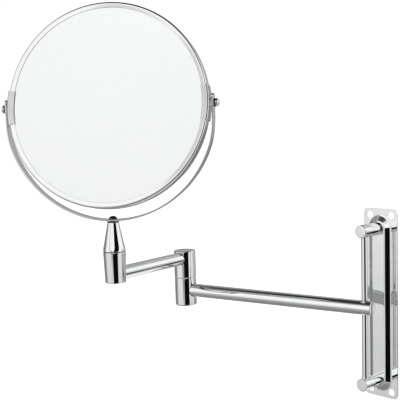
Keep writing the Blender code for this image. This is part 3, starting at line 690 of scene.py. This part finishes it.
def make_wall_plate():
    """Pressed sheet: the front face, turned to look away from the wall and thickened towards it."""
    shape = plate_front()
    bmesh.ops.recalc_face_normals(shape, faces=shape.faces)
    if sum(face.normal.y * face.calc_area() for face in shape.faces) > 0:
        bmesh.ops.reverse_faces(shape, faces=shape.faces)
    mesh = bpy.data.meshes.new("fine_wall_plate")
    shape.to_mesh(mesh)
    shape.free()
    plate = bpy.data.objects.new("fine_wall_plate", mesh)
    bpy.context.scene.collection.objects.link(plate)
    wall = plate.modifiers.new("sheet", "SOLIDIFY")
    wall.thickness = SHEET
    wall.offset = -1
    wall.use_even_offset = True
    soften_edges(plate, PLATE_EDGE, segments=4)
    apply_modifiers(plate, PLATE_CREASE)
    show(plate, "wall_plate")


def make_posts():
    base = SHEET + RIB_HEIGHT + POST_LIFT
    points = filleted([(0, base, 0), (POST_RADIUS, base, FINE_EDGE), (POST_RADIUS, POST_REACH, POST_EDGE),
                       (0, POST_REACH, 0)])
    for name, side in (("top", 1), ("bottom", -1)):
        place = lifted(side * POST_HEIGHT) @ TO_FRONT
        rail_bore = spun(rod_points(RAIL_RADIUS + HAIR, -RAIL_HALF, RAIL_HALF), SMALL_ROUND)
        screw_bore = spun(rod_points(POST_BORE, 0, POST_BORE_END), HOLE_ROUND)
        turned(f"{name}_post", points, place, cutters=[(rail_bore, ON_RAIL), (screw_bore, place)])
        make_post_screw(name, place)


def make_post_screw(name, place):
    """Pan-head screw from behind the plate, its head towards the wall, with a split washer under it."""
    face = POST_SCREW_HEAD_FACE
    base = POST_SCREW_HEAD_BASE
    points = filleted([(0, face, 0), (POST_SCREW_HEAD_RADIUS, face, POST_SCREW_HEAD_EDGE),
                       (POST_SCREW_HEAD_RADIUS, base, FINE_EDGE), (POST_SCREW_RADIUS, base, 0),
                       (POST_SCREW_RADIUS, POST_SCREW_END, POST_SCREW_TIP), (0, POST_SCREW_END, 0)])
    recess = cross_recess(*POST_RECESS, place @ lifted(face) @ Matrix.Rotation(math.pi, 4, "X"))
    turned(f"{name}_post_screw", points, place, SMALL_ROUND, cutters=recess)
    section = ring_points(LOCK_WASHER_HOLE, LOCK_WASHER_RADIUS, LOCK_WASHER_LOW, LOCK_WASHER_HIGH,
                          WASHER_EDGE)
    washer = spun(section, LOCK_WASHER_STEPS, LOCK_WASHER_SPAN)
    show(new_object(f"fine_{name}_lock_washer", washer, place), f"{name}_lock_washer")


def make_rail():
    turned("rail", rod_points(RAIL_RADIUS, -RAIL_HALF, RAIL_HALF, SOFT_EDGE), ON_RAIL, FINE_ROUND)
    sleeve = ring_points(RAIL_RADIUS + SLEEVE_PLAY, SLEEVE_RADIUS, -SLEEVE_HALF, SLEEVE_HALF, SOFT_EDGE)
    turned("rail_sleeve", sleeve, Matrix.Translation((0, -RAIL_OFFSET, INNER_LEVEL)), FINE_ROUND)


# ---- Arms and elbow ----

def tube_cutter(floor, place):
    """Bore for a tube's end, with a fine dark gap left round the tube."""
    return spun(rod_points(TUBE_RADIUS + SOCKET_PLAY, floor, SOCKET_MOUTH)), place


def make_inner_tube():
    """The tube with the hole that the rail's sleeve runs through, and the plug that closes its end."""
    length = (ELBOW_AXIS - RAIL_AXIS).xy.length
    along = ON_INNER @ lifted(INNER_LEVEL) @ ALONG_X
    inside = TUBE_RADIUS - TUBE_WALL
    tube = ring_points(inside, TUBE_RADIUS, -TUBE_PAST_RAIL, length - INNER_TUBE_END, TUBE_EDGE)
    hole = spun(rod_points(SLEEVE_RADIUS + GAP, -RAIL_HOLE_HALF, RAIL_HOLE_HALF), FINE_ROUND)
    turned("inner_arm_tube", tube, along, cutters=[(hole, ON_INNER @ lifted(INNER_LEVEL))])
    plug_end = -TUBE_PAST_RAIL + PLUG_THICKNESS
    plug = filleted([(0, -TUBE_PAST_RAIL, 0), (inside - GAP, -TUBE_PAST_RAIL, PLUG_EDGE),
                     (inside - GAP, plug_end, 0), (0, plug_end, 0)])
    turned("inner_arm_plug", plug, along)


def make_outer_tube():
    end = (POST_AXIS - ELBOW_AXIS).xy.length - OUTER_TUBE_END
    tube = ring_points(TUBE_RADIUS - TUBE_WALL, TUBE_RADIUS, OUTER_TUBE_START, end, FINE_EDGE)
    turned("outer_arm_tube", tube, ON_OUTER @ lifted(OUTER_LEVEL) @ ALONG_X)


def make_lower_barrel():
    """The inner arm's barrel, bored for its pin and its tube, with the washer that lies on it."""
    top = BARREL_JOINT - JOINT_HALF_GAP
    bore = PIN_RADIUS + BORE_PLAY
    lower = filleted([(0, BARREL_BOTTOM, 0), (BARREL_RADIUS, BARREL_BOTTOM, BARREL_BOTTOM_EDGE),
                      (BARREL_RADIUS, top, BARREL_JOINT_EDGE), (0, top, 0)])
    pin_bore = spun(rod_points(bore, PIN_FLOOR, BARREL_JOINT), SMALL_ROUND)
    arm_bore = tube_cutter(LOWER_SOCKET_FLOOR, ON_ELBOW @ lifted(INNER_LEVEL) @ ALONG_MINUS_X)
    turned("elbow_lower_barrel", lower, ON_ELBOW, cutters=[(pin_bore, ON_ELBOW), arm_bore])
    washer = ring_points(bore, BARREL_RADIUS - BARREL_JOINT_EDGE, top + HAIR,
                         BARREL_JOINT + JOINT_HALF_GAP - HAIR, ELBOW_WASHER_EDGE)
    turned("elbow_washer", washer, ON_ELBOW)


def make_upper_barrel():
    """The outer arm's barrel, bored for the pin and its tube, with a pocket for the nut under its cap."""
    low = BARREL_JOINT + JOINT_HALF_GAP
    bore = PIN_RADIUS + BORE_PLAY
    pocket = CAP_RADIUS + CAP_PLAY
    upper = filleted([(bore, low, 0), (BARREL_RADIUS, low, BARREL_JOINT_EDGE),
                      (BARREL_RADIUS, BARREL_TOP, BARREL_TOP_EDGE), (pocket, BARREL_TOP, FINE_EDGE),
                      (pocket, NUT_FLOOR, 0), (bore, NUT_FLOOR, 0)], closed=True)
    arm_bore = tube_cutter(UPPER_SOCKET_FLOOR, ON_OUTER @ lifted(OUTER_LEVEL) @ ALONG_X)
    turned("elbow_upper_barrel", upper, ON_OUTER, cutters=[arm_bore])
    cap = rod_points(CAP_RADIUS, BARREL_TOP - CAP_THICKNESS, BARREL_TOP, SOFT_EDGE)
    turned("elbow_cap", cap, ON_OUTER)


# ---- Mirror post ----

def make_post_socket():
    top = SOCKET_JOINT - JOINT_HALF_GAP
    bore = SPINDLE_RADIUS + BORE_PLAY
    pocket = SOCKET_CAP_RADIUS + GAP
    points = filleted([(pocket, SOCKET_BOTTOM, FINE_EDGE),
                       (SOCKET_BOTTOM_RADIUS, SOCKET_BOTTOM, SOCKET_BOTTOM_EDGE),
                       (SOCKET_TOP_RADIUS, top, SOCKET_TOP_EDGE), (bore, top, 0),
                       (bore, SOCKET_POCKET_TOP, 0), (pocket, SOCKET_POCKET_TOP, 0)], closed=True)
    arm_bore = tube_cutter(POST_SOCKET_FLOOR, ON_SOCKET @ lifted(OUTER_LEVEL) @ ALONG_MINUS_X)
    turned("post_socket", points, ON_SOCKET, cutters=[arm_bore])
    cap = rod_points(SOCKET_CAP_RADIUS, SOCKET_BOTTOM, SOCKET_BOTTOM + SOCKET_CAP_THICKNESS, SOFT_EDGE)
    turned("post_bottom_cap", cap, ON_SOCKET)


def make_post_cone():
    """Straight above, swelling to a rounded shoulder where it meets the socket, with the washer below."""
    low = SOCKET_JOINT + JOINT_HALF_GAP
    bore = SPINDLE_RADIUS + BORE_PLAY
    screw_bore = YOKE_SCREW_RADIUS + BORE_PLAY
    corners = [(bore, low, 0), (SOCKET_TOP_RADIUS, low, SOCKET_TOP_EDGE)]
    steps = 8
    for step in range(2, steps + 1):  # the first step is left to the corner's rounding
        share = step / steps
        radius = SOCKET_TOP_RADIUS - (SOCKET_TOP_RADIUS - CONE_SHOULDER_RADIUS) * share ** CONE_SWELL
        corners.append((radius, low + CONE_SHOULDER * share, 0))
    corners += [(CONE_TOP_RADIUS, CONE_TOP, SOFT_EDGE), (screw_bore, CONE_TOP, 0),
                (screw_bore, SPINDLE_TOP, 0), (bore, SPINDLE_TOP, 0)]
    turned("post_cone", filleted(corners, closed=True), ON_HEAD)
    half_height = JOINT_HALF_GAP - SWIVEL_WASHER_PLAY
    washer = ring_points(bore, SOCKET_TOP_RADIUS - SOCKET_TOP_EDGE, SOCKET_JOINT - half_height,
                         SOCKET_JOINT + half_height, WASHER_EDGE)
    turned("swivel_washer", washer, ON_HEAD)


# ---- Yoke ----

def pinched(across, fall):
    """The strip's distance from the head's axis, drawn in near the ends by the pinch."""
    share = min(1, max(0, 1 + fall / YOKE_PINCH_HEIGHT))
    return across - math.copysign(YOKE_PINCH * share ** 2 * (3 - 2 * share), across)


def end_rises(straight, corner_steps=10, side_steps=6):
    """Heights above the half circle's centre, from an end of the strip down over its rounded corners."""
    rises = []
    for step in range(corner_steps + 1):
        rises.append(straight - YOKE_CORNER * (1 - math.cos(QUARTER_TURN * step / corner_steps)))
    for step in range(1, side_steps):
        rises.append(straight - YOKE_CORNER - (straight - YOKE_CORNER) * step / side_steps)
    return rises


def yoke_stations(steps=160):
    """(x, z, outward x, outward z, distance from the nearer end) along the strip's outer line."""
    centre = MIRROR_LEVEL - YOKE_DROP
    straight = YOKE_PAST_PIVOT + YOKE_DROP
    rises = end_rises(straight)
    stations = [(-YOKE_END, centre + rise, -1.0, 0.0, straight - rise) for rise in rises]
    for step in range(steps + 1):
        turn = math.pi + math.pi * step / steps
        out_x = math.cos(turn)
        out_z = math.sin(turn)
        stations.append((pinched(YOKE_RADIUS * out_x, YOKE_RADIUS * out_z), centre + YOKE_RADIUS * out_z,
                         out_x, out_z, straight))
    stations += [(YOKE_END, z, 1.0, 0.0, left) for _, z, _, _, left in reversed(stations[:len(rises)])]
    return stations


def strip_section(half_width):
    """(across, inward) points round the flat strip, with softened edges."""
    edge = min(YOKE_EDGE, half_width * YOKE_EDGE_SHARE)
    corners = [(-half_width, 0, edge), (half_width, 0, edge), (half_width, YOKE_THICKNESS, edge),
               (-half_width, YOKE_THICKNESS, edge)]
    return filleted(corners, closed=True, steps=3)


def yoke_strip():
    """The bent strip before it is drilled, narrowing at each end round its two corners."""
    shape = bmesh.new()
    sections = []
    for x, z, out_x, out_z, from_end in yoke_stations():
        reach = max(0.0, YOKE_CORNER - from_end)
        half_width = YOKE_WIDTH / 2 - YOKE_CORNER + math.sqrt(max(0.0, YOKE_CORNER ** 2 - reach ** 2))
        sections.append([shape.verts.new((x - out_x * inward, across, z - out_z * inward))
                         for across, inward in strip_section(half_width)])
    for before, after in zip(sections, sections[1:]):
        for i in range(len(before)):
            shape.faces.new((before[i - 1], before[i], after[i], after[i - 1]))
    shape.faces.new(sections[0])
    shape.faces.new(sections[-1])
    return shape


def make_yoke():
    yoke = new_object("fine_yoke", yoke_strip(), ON_HEAD)
    screw_hole = rod_points(YOKE_SCREW_HOLE, YOKE_BOTTOM - DRILL_PAST,
                            YOKE_BOTTOM + YOKE_THICKNESS + DRILL_PAST)
    pivot_hole = rod_points(PIVOT_HOLE, YOKE_END - YOKE_THICKNESS - DRILL_PAST, YOKE_END + DRILL_PAST)
    holes = [(spun(screw_hole, HOLE_ROUND), ON_HEAD)]
    for turn in (ALONG_X, ALONG_MINUS_X):
        holes.append((spun(pivot_hole, HOLE_ROUND), ON_HEAD @ lifted(MIRROR_LEVEL) @ turn))
    carve(yoke, holes)
    show(yoke, "yoke")


def make_yoke_fixing():
    """The washer between cone and yoke, and the dark domed screw that clamps them."""
    washer = ring_points(YOKE_WASHER_HOLE, YOKE_WASHER_RADIUS, CONE_TOP + HAIR, YOKE_BOTTOM - HAIR,
                         SOFT_EDGE)
    turned("yoke_washer", washer, ON_HEAD, FINE_ROUND)
    base = YOKE_BOTTOM + YOKE_THICKNESS + HAIR
    screw = dome_points(YOKE_HEAD_RADIUS, YOKE_HEAD_HEIGHT, base, YOKE_SCREW_RADIUS, YOKE_SCREW_END)
    recess = cross_recess(*YOKE_RECESS, ON_HEAD @ lifted(base + YOKE_HEAD_HEIGHT))
    turned("yoke_screw", screw, ON_HEAD, FINE_ROUND, cutters=recess)


# ---- Mirror head ----

def mirrored(corners):
    """The same corners on the other side of the mirror's middle plane."""
    return [(radius, -height, fillet) for radius, height, fillet in reversed(corners)]


def make_rim():
    """Channel ring: a side wall, and a lip at the front and the back that slopes in to the glass."""
    lip_top = RIM_HALF_DEPTH - RIM_LIP_FALL
    outside = [(RIM_LIP_RADIUS, lip_top - RIM_LIP_EDGE, RIM_LIP_ROUNDING_INSIDE),
               (RIM_LIP_RADIUS, lip_top, RIM_LIP_ROUNDING), (RIM_RADIUS, RIM_HALF_DEPTH, RIM_CORNER)]
    inside = [(RIM_RADIUS - RIM_WALL, RIM_HALF_DEPTH - RIM_WALL, SOFT_EDGE)]
    points = filleted(outside + mirrored(outside) + mirrored(inside) + inside, closed=True, steps=8)
    hole = rod_points(PIVOT_HOLE, RIM_RADIUS - DRILL_PAST, RIM_RADIUS + DRILL_PAST)
    holes = [(spun(hole, HOLE_ROUND), ON_MIRROR @ turn) for turn in (ALONG_X, ALONG_MINUS_X)]
    turned("rim", points, FACE, RING, cutters=holes)


def dish(edge_height, radius, steps=24):
    """(radius, height) points of the magnifying side, from its middle to its edge."""
    ball = (radius ** 2 + MAGNIFYING_SAG ** 2) / (2 * MAGNIFYING_SAG)
    points = []
    for step in range(steps + 1):
        at = radius * step / steps
        points.append((at, edge_height + MAGNIFYING_SAG - (ball - math.sqrt(ball ** 2 - at ** 2))))
    return points


def make_glasses():
    plain = rod_points(GLASS_RADIUS, GLASS_FACE - PLAIN_THICKNESS, GLASS_FACE, GLASS_EDGE)
    turned("plain_glass", plain, FACE, RING)
    seen_side = dish(-GLASS_FACE, GLASS_RADIUS)
    hidden_side = dish(-GLASS_FACE + MAGNIFYING_THICKNESS, GLASS_RADIUS)
    turned("magnifying_glass", seen_side + hidden_side[::-1], FACE, RING)


def clip_section():
    """Section of a saddle that wraps the rim's side wall and both its lips."""
    lip = RIM_LIP_RADIUS - CLIP_PAST_LIP
    depth = RIM_HALF_DEPTH
    inside = [(lip, depth - CLIP_LIP_INSIDE, CLIP_LIP_ROUNDING_INSIDE),
              (RIM_RADIUS + GAP, depth + CLIP_RISE_INSIDE, CLIP_CORNER_INSIDE)]
    outside = [(lip, depth - CLIP_LIP_FALL, CLIP_LIP_ROUNDING),
               (CLIP_RADIUS, depth + CLIP_RISE, CLIP_CORNER)]
    outer_side = outside + mirrored(outside)
    return filleted(inside + mirrored(inside) + outer_side[::-1], closed=True)


def make_clip(side_name, out, middle):
    turn = Matrix.Rotation(middle - CLIP_SPAN / 2, 4, "Z")
    clip = new_object(f"fine_{side_name}_clip", spun(clip_section(), CLIP_STEPS, CLIP_SPAN), FACE @ turn)
    soften_edges(clip, FINE_EDGE, segments=2)
    hole = spun(rod_points(PIVOT_HOLE, RIM_RADIUS - DRILL_PAST, CLIP_RADIUS + DRILL_PAST), HOLE_ROUND)
    carve(clip, [(hole, ON_MIRROR @ out)])
    show(clip, f"{side_name}_clip")


def make_pivots():
    """On each side, from the rim outwards: clip, spacer, then the washer and screw outside the yoke."""
    for side_name, out, middle in (("left", ALONG_MINUS_X, math.pi), ("right", ALONG_X, 0)):
        place = ON_MIRROR @ out
        make_clip(side_name, out, middle)
        yoke_inside = YOKE_END - YOKE_THICKNESS
        spacer = ring_points(PIVOT_HOLE, SPACER_RADIUS, CLIP_RADIUS + GAP, yoke_inside - GAP, SPACER_EDGE)
        turned(f"{side_name}_spacer", spacer, place, FINE_ROUND)
        washer_high = YOKE_END + PIVOT_WASHER_THICKNESS
        washer = ring_points(PIVOT_HOLE, PIVOT_WASHER_RADIUS, YOKE_END + GAP, washer_high, SOFT_EDGE)
        turned(f"{side_name}_head_washer", washer, place, FINE_ROUND)
        screw = dome_points(PIVOT_HEAD_RADIUS, PIVOT_HEAD_HEIGHT, washer_high + GAP, PIVOT_RADIUS,
                            RIM_RADIUS - PIVOT_PAST_RIM)
        turned(f"{side_name}_pivot_screw", screw, place, FINE_ROUND)


def finish_hidden_nodes():
    """Nodes that stay as the frame has them, all inside the barrels and tubes, get their finish here."""
    for name, node in frame["nodes"].items():
        if not node.hide_render:
            node.data.materials.clear()
            node.data.materials.append(FINISHES[SLOTS[name]])


# ---- Stage, light and camera ----

def grey(level):
    return (level, level, level, 1)


def math_node(tree, operation, *values):
    """A maths node whose inputs are numbers or other nodes' outputs."""
    node = tree.nodes.new("ShaderNodeMath")
    node.operation = operation
    for socket, value in zip(node.inputs, values):
        set_input(tree, socket, value)
    return node.outputs["Value"]


def view_angles(tree):
    """Azimuth from +X towards +Y, and elevation above the horizon, of each direction, both in degrees."""
    place = tree.nodes.new("ShaderNodeTexCoord")
    parts = tree.nodes.new("ShaderNodeSeparateXYZ")
    tree.links.new(place.outputs["Generated"], parts.inputs["Vector"])
    azimuth = math_node(tree, "ARCTAN2", parts.outputs["Y"], parts.outputs["X"])
    elevation = math_node(tree, "ARCSINE", parts.outputs["Z"])
    return (math_node(tree, "MULTIPLY", azimuth, math.degrees(1)),
            math_node(tree, "MULTIPLY", elevation, math.degrees(1)))


def within(tree, value, middle, half_width, softness):
    """1 within half_width of the middle, falling to 0 over the softness."""
    away = math_node(tree, "ABSOLUTE", math_node(tree, "SUBTRACT", value, middle))
    node = tree.nodes.new("ShaderNodeMapRange")
    node.interpolation_type = "SMOOTHSTEP"
    node.inputs["From Min"].default_value = half_width - softness / 2
    node.inputs["From Max"].default_value = half_width + softness / 2
    node.inputs["To Min"].default_value = 1
    node.inputs["To Max"].default_value = 0
    tree.links.new(away, node.inputs["Value"])
    return node.outputs["Result"]


def glow_by_height(tree, elevation):
    """The studio's brightness from the dim floor through the bright tent to the dark ceiling."""
    ramp = tree.nodes.new("ShaderNodeValToRGB")
    ramp.color_ramp.interpolation = "LINEAR"
    stops = ramp.color_ramp.elements
    for index, (height, level) in enumerate(GLOW_STOPS):
        stop = stops[index] if index < len(stops) else stops.new(1.0)
        stop.position = (height + 90) / 180
        stop.color = grey(level)
    share = math_node(tree, "DIVIDE", math_node(tree, "ADD", elevation, 90), 180)
    tree.links.new(share, ramp.inputs["Fac"])
    return ramp.outputs["Color"]


def hang_flag(tree, glow, azimuth, elevation, flag):
    """Covers part of the glow with a soft-edged flag, whose slant moves it across as it rises."""
    middle, half_width, height, half_height, slant, softness, level = flag
    leaning = math_node(tree, "SUBTRACT", elevation, height)
    centre = math_node(tree, "ADD", math_node(tree, "MULTIPLY", leaning, slant), middle)
    across = within(tree, azimuth, centre, half_width, softness)
    up = within(tree, elevation, height, half_height, softness)
    return blend(tree, math_node(tree, "MULTIPLY", across, up), glow, grey(level))


def make_world():
    """Plain bright tent with flags and an opening. The camera itself sees only white."""
    world = bpy.data.worlds.new("studio")
    bpy.context.scene.world = world
    world.use_nodes = True
    tree = world.node_tree
    azimuth, elevation = view_angles(tree)
    glow = glow_by_height(tree, elevation)
    for flag in STUDIO_FLAGS:
        glow = hang_flag(tree, glow, azimuth, elevation, flag)
    path = tree.nodes.new("ShaderNodeLightPath")
    seen = blend(tree, path.outputs["Is Camera Ray"], glow, grey(BACKDROP))
    tree.links.new(seen, tree.nodes["Background"].inputs["Color"])


def make_floor():
    """A pale glowing disc that lights the object from below but isn't seen in the chrome."""
    shape = bmesh.new()
    bmesh.ops.create_circle(shape, cap_ends=True, radius=FLOOR_RADIUS, segments=ROUND)
    floor = new_object("floor", shape, lifted(FLOOR_LEVEL))
    made, _, shader = shader_material("pale_floor", 0.0, 0.9, (0.9, 0.9, 0.9))
    shader.inputs["Emission Color"].default_value = grey(1)
    shader.inputs["Emission Strength"].default_value = FLOOR_GLOW
    floor.data.materials.append(made)
    floor.visible_glossy = False


def make_camera():
    data = bpy.data.cameras.new("camera")
    data.lens = CAMERA_LENS
    data.sensor_width = CAMERA_SENSOR
    data.shift_y = CAMERA_RISE
    data.clip_start = CAMERA_NEAR
    data.clip_end = CAMERA_FAR
    camera = bpy.data.objects.new("camera", data)
    bpy.context.scene.collection.objects.link(camera)
    turn = (Matrix.Rotation(CAMERA_YAW, 4, "Z") @ Matrix.Rotation(QUARTER_TURN + CAMERA_PITCH, 4, "X")
            @ Matrix.Rotation(CAMERA_ROLL, 4, "Z"))
    camera.matrix_world = Matrix.Translation(CAMERA_PLACE) @ turn
    bpy.context.scene.camera = camera


make_camera()
make_wall_plate()
make_posts()
make_rail()
make_inner_tube()
make_outer_tube()
make_lower_barrel()
make_upper_barrel()
make_post_socket()
make_post_cone()
make_yoke()
make_yoke_fixing()
make_rim()
make_glasses()
make_pivots()
finish_hidden_nodes()
make_floor()
make_world()
bpy.context.scene.view_settings.view_transform = "Standard"
